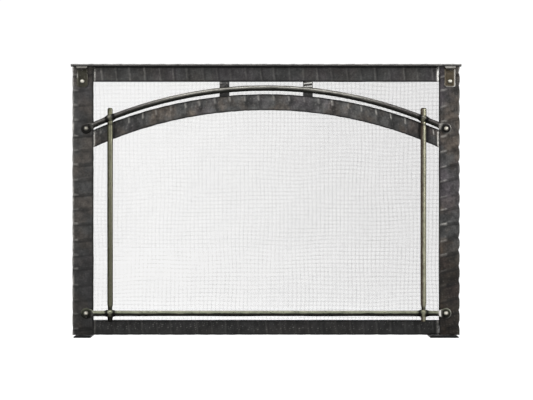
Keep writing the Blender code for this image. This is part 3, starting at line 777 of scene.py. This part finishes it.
def cross_rod_grid(half_length, eyes, cheek_tones, cheek_reach, bead, tail, seed):
    """Local grids of a rod with a flat round pad at each end and a drifted eye at each crossing.

    cheek_tones are how much of each eye's front is painted the lit olive of the uprights, over
    cheek_reach to each side of its middle, and bead is how bright the painted highlight in that
    middle is. tail is how bright the painted highlight on the fishtail at the right pad is.
    """
    tip = PAD_RADIUS * (1 - np.cos(np.linspace(0, math.pi / 2, 14)))
    near = np.concatenate([tip, np.linspace(PAD_RADIUS, PAD_FLAT + NECK_LENGTH, 22)[1:]])
    plain_end = half_length - near[-1]
    middle = np.linspace(-plain_end, plain_end, int(2 * plain_end / ROD_STEP))[1:-1]
    stations = np.concatenate([-half_length + near, middle, (half_length - near)[::-1]])

    inward = half_length - np.abs(stations)
    from_centre = inward - PAD_RADIUS
    disc = np.sqrt(np.clip(PAD_RADIUS**2 - from_centre**2, 0, None))
    neck = ROD_RADIUS * (1 + 0.55 * (1 - smooth_step((inward - 1.5 * PAD_RADIUS) / 0.016)))
    half_height = np.where(from_centre < 0, np.maximum(disc, 0.0010), np.maximum(disc, neck))
    half_height = np.where(inward > PAD_FLAT + NECK_LENGTH, ROD_RADIUS, half_height)
    blend = smooth_step((inward - PAD_FLAT) / NECK_LENGTH)
    half_depth = PAD_THICKNESS / 2 + (ROD_RADIUS - PAD_THICKNESS / 2) * blend
    shift = ROD_RADIUS - half_depth
    swell = np.zeros_like(stations)
    for eye in eyes:
        step = np.clip((stations - eye) / EYE_HALF_LENGTH, -1, 1)
        swell += np.cos(step * math.pi / 2) ** 2
    half_height = half_height + 0.9 * EYE_SWELL * swell
    half_depth = half_depth + EYE_SWELL * swell
    grids = rod_grid(stations, half_height, half_depth, shift, 1 - blend, seed)

    x, y, z = grids
    from_pad = half_length - np.abs(x) - PAD_RADIUS
    ring = np.hypot(from_pad, z) / PAD_RADIUS
    on_pad = smooth_step((1.9 * PAD_RADIUS - (half_length - np.abs(x))) / 0.004)
    in_front = (y < shift[:, None]).astype(float)
    # Painted highlights: a ring round each pad's rim, the fishtail and the middle of each eye,
    # brighter on the right. Painted shade: the rod black beside each eye. The pads are painted
    # dark.
    rim = bell(ring - 0.93, 0.10) * on_pad * in_front
    fishtail = bell(from_pad - 1.15 * PAD_RADIUS, 0.0035) * in_front
    nearest = np.min([np.abs(x - eye) for eye in eyes], axis=0)
    cheek = np.exp(-((nearest / cheek_reach) ** 4)) * in_front
    beside = bell(nearest - cheek_reach - 0.0052, 0.0052)
    right = 1 / (1 + np.exp(-x / 0.05))
    rim = rim * (0.3 + 0.7 * smooth_step(0.4 - from_pad / PAD_RADIUS))
    wear = (0.02 + 0.50 * right) * rim + (0.20 + (tail - 0.20) * right) * fishtail
    wear = wear + bead * np.exp(-((nearest / 0.0024) ** 2) - ((z / 0.0028) ** 2)) * in_front
    soot = (0.62 + 0.08 * right) * on_pad * (1 - rim * right) * (1 - fishtail * right)
    soot = soot + 1.05 * beside * (1 - cheek)
    marks = {
        "wear": np.clip(wear, 0, 1.8),
        "soot": np.clip(soot, 0, 0.97),
        "cheek": np.where(x < 0, *cheek_tones) * cheek,
    }
    return grids, marks


def make_cross_rods():
    rod_y = middle(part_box("left_upright_rod"), AXIS_Y)
    upright_x = [middle(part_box(f"{side}_upright_rod"), AXIS_X) for side in SIDES]
    pad_x = middle(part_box("arch_rod_rivet_right"), AXIS_X)
    pad_z = middle(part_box("arch_rod_rivet_right"), AXIS_Z)
    radius = ARCH_ROD_RADIUS
    centre_z = arch_rod_centre(pad_x, pad_z)
    half_length = radius * math.asin(pad_x / radius) + PAD_RADIUS
    eyes = [radius * math.asin(x / radius) for x in upright_x]
    (x, y, z), marks = cross_rod_grid(half_length, eyes, (0.35, 0.45), 0.0042, 0.0, 0.9, 71)
    ring = radius + z
    points = np.stack(
        [ring * np.sin(x / radius), rod_y + y, centre_z + ring * np.cos(x / radius)], axis=-1
    )
    # Painted lit on its upper front and black as shade underneath.
    finish = side_lit_rod(
        "arch_rod_finish", (0, -0.35, 0.94), (0.23, 0.222, 0.20), BLACK, 0.08, 0.64,
        ("X", 0.20, 0.34), (0.072, 0.066, 0.064),
    )
    stand_forged("arch_rod", points, finish, marks, "forged_rod")

    height = middle(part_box("bottom_rod_rivet_right"), AXIS_Z)
    half_length = pad_x + PAD_RADIUS
    (x, y, z), marks = cross_rod_grid(half_length, upright_x, (0.22, 1.0), 0.0042, 0.20, 1.8, 72)
    # A painted glint below the left pad of the bottom rod.
    glint = np.exp(-(((x + pad_x) / 0.0016) ** 2) - ((z + 0.0095) / 0.0016) ** 2)
    at_least(marks, "wear", 0.8 * glint)
    points = np.stack([x, rod_y + y, height + z], axis=-1)
    # Painted lit on its upper front and black as shade underneath.
    finish = side_lit_rod(
        "bottom_rod_finish", (0, -0.45, 0.9), (0.235, 0.242, 0.180), BLACK, 0.30, 0.70,
        ("X", 0.22, 0.40), (0.205, 0.212, 0.155),
    )
    stand_forged("bottom_rod", points, finish, marks, "forged_rod")


def upright_grid(length, lower_eye, collar, top, tail_darkness, seed):
    """Local grids of an upright rod, with a soft bead under the upper eye and its top's own size.

    It is drawn thinner and painted in shade just above its lower eye and at its bead; tail_darkness
    darkens it below that eye.
    """
    dome = 0.0045
    cap = dome * (1 - np.cos(np.linspace(0.12, math.pi / 2, 9)))
    shaft = np.linspace(dome, length - dome, int(length / UPRIGHT_ROD_STEP))[1:-1]
    stations = np.concatenate([cap, shaft, (length - cap)[::-1]])
    from_end = np.minimum(stations, length - stations)
    inside = np.clip(dome - from_end, 0, dome) / dome
    radius = ROD_RADIUS * (0.25 + 0.75 * np.sqrt(np.clip(1 - inside**2, 0, 1)))
    above = smooth_step((stations - collar - 0.016) / 0.010)
    radius = radius * (1 + above * (top - 1))
    radius = radius * (1 - 0.10 * bell(stations - collar, 0.0022))
    radius = radius * (1 - 0.22 * (1 - smooth_step(stations / 0.016)))
    radius = radius * (1 - 0.24 * bell(stations - lower_eye - 0.012, 0.008))
    none = np.zeros_like(stations)
    x, y, z = rod_grid(stations, radius, radius, none, none, seed)
    # Painted shade in the crease at the bead and in the narrowing above the lower eye.
    crease = 0.75 * bell(stations - collar, 0.0026)
    neck = 0.75 * bell(stations - lower_eye - 0.012, 0.007)
    tail = tail_darkness * smooth_step((lower_eye - stations) / 0.006)
    marks = {
        "wear": np.zeros_like(x),
        "soot": np.repeat(np.maximum(crease, neck + tail)[:, None], x.shape[1], axis=1),
    }
    return (x, y, z), marks


def make_upright_rods():
    pad_x = middle(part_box("arch_rod_rivet_right"), AXIS_X)
    pad_z = middle(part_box("arch_rod_rivet_right"), AXIS_Z)
    arch_centre = arch_rod_centre(pad_x, pad_z)
    bottom_rod_z = middle(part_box("bottom_rod_rivet_right"), AXIS_Z)
    # Each upright is painted lit where it faces front and right, and dark as shade on its left.
    looks = {
        "left": (81, 0.90, 0.95, ((0.35, -0.94, 0), OLIVE, OLIVE_BLACK, 0.56, 0.96, 0.45)),
        "right": (82, 1.10, 0.10, ((0.42, -0.90, 0), PALE_OLIVE, BROWN_BLACK, 0.62, 0.98, 0.80)),
    }
    for side, (seed, top, tail_darkness, look) in looks.items():
        facing, bright, dark, dim_at, bright_at, left_below = look
        finish = side_lit_rod(
            f"{side}_rod_finish", facing, bright, dark, dim_at, bright_at, ("Z", 0.52, 0.08),
            scaled(bright, left_below),
        )
        node = f"{side}_upright_rod"
        low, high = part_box(node)
        centre_x, centre_y = (low.x + high.x) / 2, (low.y + high.y) / 2
        eye_z = arch_centre + math.sqrt(ARCH_ROD_RADIUS**2 - centre_x**2)
        collar = eye_z - low.z - ROD_RADIUS - EYE_SWELL - 0.005
        lower_eye = bottom_rod_z - low.z
        (x, y, z), marks = upright_grid(high.z - low.z, lower_eye, collar, top, tail_darkness, seed)
        points = np.stack([centre_x + z, centre_y + y, low.z + x], axis=-1)
        stand_forged(node, points, finish, marks, "forged_rod")


# ---------------------------------------------------------------- rivets, clips, screws
def dome_profile(radius, height, shank_radius, grip):
    """A snap head with a soft rim, and the shank below it."""
    profile = [(0.0002, -grip), (shank_radius, -grip), (shank_radius, -0.0001)]
    profile.append((0.96 * radius, 0.0))
    for angle in np.radians(np.linspace(8, 89.5, 12)):
        profile.append((radius * math.cos(angle) ** 0.85, height * math.sin(angle) ** 0.95))
    return profile


def make_rivets(bright, black):
    """Domed heads with painted highlights on their crowns and painted shade round their edges; the
    heads under the cap are painted black as the shade there.
    """
    crowns = {"arch_rod_rivet_left": (0.75, 0.42), "bottom_rod_rivet_left": (1.35, 0.48)}
    for node in sorted(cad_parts):
        if "_rivet_" not in node:
            continue
        low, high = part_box(node)
        rng = np.random.default_rng(sum(ord(letter) for letter in node))
        down = node.startswith("cap_")
        grip = (high.z - low.z if down else high.y - low.y) - RIVET_HEAD_HEIGHT
        profile = dome_profile(RIVET_HEAD_RADIUS, RIVET_HEAD_HEIGHT, INCH / 8, grip)
        points = lathe_points(profile, 36)
        angle = np.arctan2(points[..., 1], points[..., 0])
        head = np.clip(points[..., 2] / RIVET_HEAD_HEIGHT, 0, 1)
        lump = 1 + 0.025 * np.cos(3 * angle + rng.uniform(0, 6)) * head
        lump += 0.02 * np.cos(5 * angle) * (1 - head)
        x, y, z = points[..., 0] * lump, points[..., 1] * lump, points[..., 2]
        shift_x, shift_y = rng.uniform(-0.10, 0.20), rng.uniform(0.05, 0.20)
        from_crown = np.hypot(
            x / RIVET_HEAD_RADIUS - shift_x, 1.2 * (y / RIVET_HEAD_RADIUS - shift_y)
        )
        # Painted highlight on the crown of each head, painted shade round its edge.
        crown, reach = crowns.get(node, (1.45, 0.56))
        marks = {
            "wear": crown * bell(from_crown, reach) * (head > 0.05),
            "soot": 0.75 * smooth_step((from_crown - 0.82) / 0.35),
        }
        centre = (low + high) / 2
        if down:
            seat = low.z + RIVET_HEAD_HEIGHT
            placed = np.stack([centre.x + x, centre.y - y, seat - z], axis=-1)
        else:
            seat = low.y + RIVET_HEAD_HEIGHT
            placed = np.stack([centre.x + x, seat - z, centre.z + y], axis=-1)
        finish = black if down else bright
        stand_for(grid_mesh(f"{node}_head", placed, finish, marks), "fastener", node)


def make_plate(node, part, box, outline, axis, bevel_width, finish):
    """A flat piece: an outline swept along an axis through a CAD node's box, its edges bevelled."""
    shape = bmesh.new()
    rows = []
    for end in box:
        corners = []
        for u, v in outline:
            point = [u, v]
            point.insert(axis, end[axis])
            corners.append(shape.verts.new(point))
        rows.append(corners)
    for i in range(len(outline)):
        j = (i + 1) % len(outline)
        shape.faces.new((rows[0][i], rows[0][j], rows[1][j], rows[1][i]))
    shape.faces.new(rows[0])
    shape.faces.new(rows[1][::-1])
    mesh = bpy.data.meshes.new(f"{node}_{part}")
    shape.to_mesh(mesh)
    shape.free()
    obj = finish_mesh(f"{node}_{part}", mesh, finish, sharp=30)
    bevel = obj.modifiers.new("edges", "BEVEL")
    bevel.width = bevel_width
    bevel.segments = 3
    bevel.limit_method = "ANGLE"
    bevel.angle_limit = math.radians(30)
    stand_for(obj, "blackened_steel", node)


def make_clips():
    """A strap bent from under the cap down the stile's face, its edges filed to wide bevels, with
    painted highlights and painted shadow.
    """
    t = 3 * INCH / 16
    bend = 0.002
    looks = {
        "left": (91, (0.050, 0.047, 0.034), (0.85, 0.10), (0.014, 0.030), 0.0, 0.55),
        "right": (92, (0.090, 0.070, 0.036), (0.10, 1.10), (0.004, 0.060), 0.75, 0.95),
    }
    for side, (seed, colour, rims, rim_span, lip_highlight, flange_highlight) in looks.items():
        finish = plain_iron(f"{side}_clip_bronze", colour, 0.36, 0.5, 0.75)
        node = f"{side}_corner_clip"
        low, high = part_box(node)
        flange = high.y - low.y - t - bend
        strap = high.z - low.z - t - bend
        arc = (bend + t / 2) * math.pi / 2
        (x, y, z), marks = peened_bar(
            flange + arc + strap, high.x - low.x, t, seed=seed, depth=0.0004, pitch=0.020,
            dash=(2, 3, 0.0), flecks=(0.1, 0.9, 0.25), edge_shade=(0.0, 0.0), edge_highlight=rims,
            bevel=(0.0034, 0.0018),
        )
        strap_end = flange + arc + strap - x
        corner = 0.006
        inside = np.clip(corner - strap_end, 0, corner)
        cut = corner - np.sqrt(np.clip(corner**2 - inside**2, 0, None))
        taper = 1 - 2 * cut / (high.x - low.x)
        across = (high.x + low.x) / 2 + (z - (high.x - low.x) / 2) * taper
        turn = np.clip((x - flange) / arc, 0, 1) * math.pi / 2
        hub_y, hub_z = high.y - t - bend, high.z - t - bend
        depth_y = hub_y + (bend + y) * np.sin(turn) + np.clip(x, 0, flange) - flange
        height_z = hub_z + (bend + y) * np.cos(turn) - np.clip(x - flange - arc, 0, None)
        points = np.stack([across, depth_y, height_z], axis=-1)
        # Painted highlights on the rims, the lip and the front of the flange; painted shadow under
        # the flange.
        below_top = high.z - height_z
        on_rim = smooth_step((below_top - rim_span[0]) / 0.004)
        on_rim = on_rim * smooth_step((rim_span[1] - below_top) / 0.004)
        lip = lip_highlight * smooth_step(1.2 - strap_end / 0.0035) * (y < 0.002)
        flange_front = flange_highlight * smooth_step(1.2 - x / 0.002)
        marks["wear"] = np.clip(marks["wear"] * on_rim + lip + flange_front, 0, 1.6)
        under_flange = np.exp(-np.clip((x - flange) / 0.0085, 0, None) ** 2) * (x > flange * 0.5)
        marks["soot"] = 0.94 * np.clip(under_flange, 0, 1)
        stand_forged(node, points, finish, marks, "clip")


def make_gussets(finish):
    for side in SIDES:
        node = f"{side}_gusset"
        low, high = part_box(node)
        nose = 0.012
        outline = [
            (low.y, low.z),
            (high.y, low.z),
            (high.y, low.z + nose),
            (low.y + nose, high.z),
            (low.y, high.z),
        ]
        make_plate(node, "plate", (low, high), outline, AXIS_X, 0.0009, finish)


def make_retainers(finish):
    for edge in ("top", "bottom", "left", "right"):
        node = f"retainer_{edge}"
        low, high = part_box(node)
        outline = [(low.x, low.z), (high.x, low.z), (high.x, high.z), (low.x, high.z)]
        make_plate(node, "strip", (low, high), outline, AXIS_Y, 0.0006, finish)


def make_screws(finish):
    for node in sorted(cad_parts):
        if not node.startswith("retainer_screw_"):
            continue
        low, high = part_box(node)
        head_radius, grip = (high.x - low.x) / 2, high.y - low.y - SCREW_HEAD_HEIGHT
        profile = dome_profile(head_radius, SCREW_HEAD_HEIGHT, SCREW_SHANK_RADIUS, grip)
        points = lathe_points(profile, 28)
        seat = high.y - SCREW_HEAD_HEIGHT
        centre_x, centre_z = (low.x + high.x) / 2, (low.z + high.z) / 2
        placed = np.stack(
            [centre_x + points[..., 0], seat + points[..., 2], centre_z + points[..., 1]], axis=-1
        )
        stand_for(grid_mesh(f"{node}_head", placed, finish), "fastener", node)


# ---------------------------------------------------------------- woven mesh
def wire_tubes(across, along, depth, radii, upright):
    """Thin tubes, one for each row of the (wires, stations) arrays, as vertices and faces."""
    count, stations = radii.shape
    angles = np.linspace(0, 2 * math.pi, WIRE_SIDES, endpoint=False) + math.pi / 2
    across = across[:, :, None] + radii[:, :, None] * np.cos(angles)
    depth = depth[:, :, None] - radii[:, :, None] * np.sin(angles)
    along = np.repeat(along[:, :, None], WIRE_SIDES, axis=2)
    columns = [across, depth, along] if upright else [along, depth, across]
    verts = np.stack(columns, axis=-1).reshape(-1, 3)

    start = np.arange(count)[:, None, None] * stations * WIRE_SIDES
    rows = start + np.arange(stations - 1)[None, :, None] * WIRE_SIDES
    first = (start + np.arange(WIRE_SIDES)).reshape(-1, WIRE_SIDES)
    last = first + (stations - 1) * WIRE_SIDES
    faces = tube_quads(rows, WIRE_SIDES) + first[:, ::-1].tolist() + last.tolist()
    return verts, faces


def wire_sizes(number, x, z, seed):
    """Every third wire is a heavy one, more so in some places than in others."""
    rng = np.random.default_rng(seed)
    turn = 2 * math.pi * number / HEAVY_EVERY + 1.8 * ripple(x, z, 0.18, rng)
    heavy = (0.5 + 0.5 * np.cos(turn)) ** 2
    uneven = np.clip(0.58 + 0.40 * ripple(x, z, 0.035, rng), 0.10, 1.2)
    radius = FINE_WIRE_RADIUS + (HEAVY_WIRE_RADIUS - FINE_WIRE_RADIUS) * heavy * uneven
    return radius * (0.92 + 0.32 * smooth_step((x + 0.42) / 0.82))


def stray(x, z, seed):
    """The places of wires that lie at x and z, once they have strayed a little."""
    rng = np.random.default_rng(seed)
    return x + MESH_WAVE * ripple(x, z, 0.15, rng), z + MESH_WAVE * ripple(x, z, 0.15, rng)


def make_wire_mesh():
    """Upright wires, and level wires that pass before and behind them in turn."""
    finish = wire_steel("mesh_wire")
    low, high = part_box("wire_mesh")
    middle = (low.y + high.y) / 2
    columns = round((high.x - low.x) / COLUMN_PITCH)
    rows = round((high.z - low.z) / ROW_PITCH)
    column_x = low.x + (high.x - low.x) * (np.arange(columns) + 0.5) / columns
    row_z = low.z + (high.z - low.z) * (np.arange(rows) + 0.5) / rows
    station_z = np.linspace(low.z, high.z, UPRIGHT_WIRE_STATIONS)

    x, z = np.meshgrid(column_x, station_z, indexing="ij")
    sizes = wire_sizes(np.arange(columns)[:, None], x, z, 103)
    x, z = stray(x, z, 101)
    upright = wire_tubes(x, z, np.full_like(x, middle), sizes, True)

    x, z = np.meshgrid(column_x, row_z)
    crossed = wire_sizes(np.arange(columns)[None, :], x, z, 103)
    sizes = wire_sizes(np.arange(rows)[:, None], x, z, 104)
    turns = np.where((np.arange(rows)[:, None] + np.arange(columns)[None, :]) % 2, 1.0, -1.0)
    depths = middle + turns * (crossed + sizes) * 0.95
    x, z = stray(x, z, 101)
    half = rows // 2
    pieces = {"wire_mesh_upright": upright}
    for name, part in (("lower", slice(0, half)), ("upper", slice(half, rows))):
        pieces[f"wire_mesh_level_{name}"] = wire_tubes(
            z[part], x[part], depths[part], sizes[part], False
        )
    for name, (verts, faces) in pieces.items():
        mesh = bpy.data.meshes.new(name)
        mesh.from_pydata(verts.tolist(), [], faces)
        stand_for(finish_mesh(name, mesh, finish, sharp=140), "mesh_wire", "wire_mesh")


# ---------------------------------------------------------------- stage, light and camera
def make_stage():
    floor_mesh = bpy.data.meshes.new("studio_floor")
    reach = 14.0
    corners = [(-reach, -reach, 0), (reach, -reach, 0), (reach, reach, 0), (-reach, reach, 0)]
    floor_mesh.from_pydata(corners, [], [(0, 1, 2, 3)])
    floor = bpy.data.objects.new("studio_floor", floor_mesh)
    bpy.context.scene.collection.objects.link(floor)
    t = Tree("studio_floor")
    t.shader.inputs["Emission Color"].default_value = (1, 1, 1, 1)
    t.shader.inputs["Emission Strength"].default_value = 0.78
    shade = t.spread(t.noise(1.5, 2), 0.3, 0.7, 0.38, 0.42)
    floor_mesh.materials.append(t.finish(grey_of(t, shade), 0.9, 0.0))


def area_light(name, place, target, size, power):
    lamp = bpy.data.lights.new(name, "AREA")
    lamp.shape = "RECTANGLE"
    lamp.size, lamp.size_y = size
    lamp.energy = power
    obj = bpy.data.objects.new(name, lamp)
    obj.location = place
    obj.rotation_euler = (Vector(target) - Vector(place)).to_track_quat("-Z", "Y").to_euler()
    bpy.context.scene.collection.objects.link(obj)


def make_lights():
    """Soft boxes at both sides and above, and surroundings that are dim in front and below."""
    area_light("key_left", (-1.5, -1.0, 1.15), (-0.3, 0, 0.4), (0.7, 1.1), 17)
    area_light("key_right", (1.5, -1.0, 1.0), (0.3, 0, 0.4), (0.7, 1.1), 15)
    area_light("overhead", (0, -0.9, 2.2), (0, 0, 0.4), (2.2, 0.7), 26)
    area_light("behind", (0, 0.8, 1.6), (0, 0, 0.3), (2.0, 0.4), 8)

    t = Tree("studio", "worlds")
    bpy.context.scene.world = t.owner
    around = t.tree.nodes["Background"]
    t.put(around.inputs["Color"], (1, 1, 1))
    split = t.add("SeparateXYZ", {"Vector": t.coords.outputs["Generated"]})
    ends = {"From Min": -1.0, "From Max": 0.8, "To Min": 0.30, "To Max": 0.85}
    t.put(around.inputs["Strength"], t.add("MapRange", {"Value": split["Y"], **ends})["Result"])
    white = t.add("Background", {"Color": (1, 1, 1), "Strength": 1.05})
    seen = t.add("LightPath", {})["Is Camera Ray"]
    shaders = {1: around.outputs["Background"], 2: white["Background"]}
    pick = t.add("MixShader", {0: seen, **shaders})
    t.put(t.tree.nodes["World Output"].inputs["Surface"], pick["Shader"])


def make_camera():
    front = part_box("left_stile")[0].y
    lens = bpy.data.cameras.new("camera")
    lens.lens = CAMERA_LENS
    lens.sensor_width = SENSOR_WIDTH
    lens.clip_end = 60
    camera = bpy.data.objects.new("camera", lens)
    distance = CAMERA_LENS / SENSOR_WIDTH * VIEW_WIDTH
    camera.location = (0.001, front - distance, CAMERA_HEIGHT)
    camera.rotation_euler = (math.radians(90), 0, 0)
    bpy.context.scene.collection.objects.link(camera)
    bpy.context.scene.camera = camera
    bpy.context.scene.view_settings.view_transform = "Standard"


make_camera()
make_lights()
make_stage()

make_stiles()
make_rails()
make_cap()
make_arch_bar()
make_feet()
make_spacers()
make_cross_rods()
make_upright_rods()
black_steel = plain_iron("black_steel", (0.045, 0.043, 0.041), 0.5, 0.7, 0.6)
# Painted black for the rivet heads that sit in the shade under the cap.
shadow_black_steel = plain_iron("shadow_black_steel", BLACK, 0.6, 0.8, 0.5, worn_and_lit=SHADE_AND_SOOT_BLACK)
rivet_steel = plain_iron("rivet_steel", (0.090, 0.085, 0.072), 0.34, 0.48, 0.7, (0.60, 0.58, 0.50))
make_rivets(rivet_steel, shadow_black_steel)
make_clips()
make_gussets(black_steel)
make_retainers(black_steel)
make_screws(plain_iron("screw_steel", (0.30, 0.29, 0.27), 0.3, 0.45, 0.9))
make_wire_mesh()
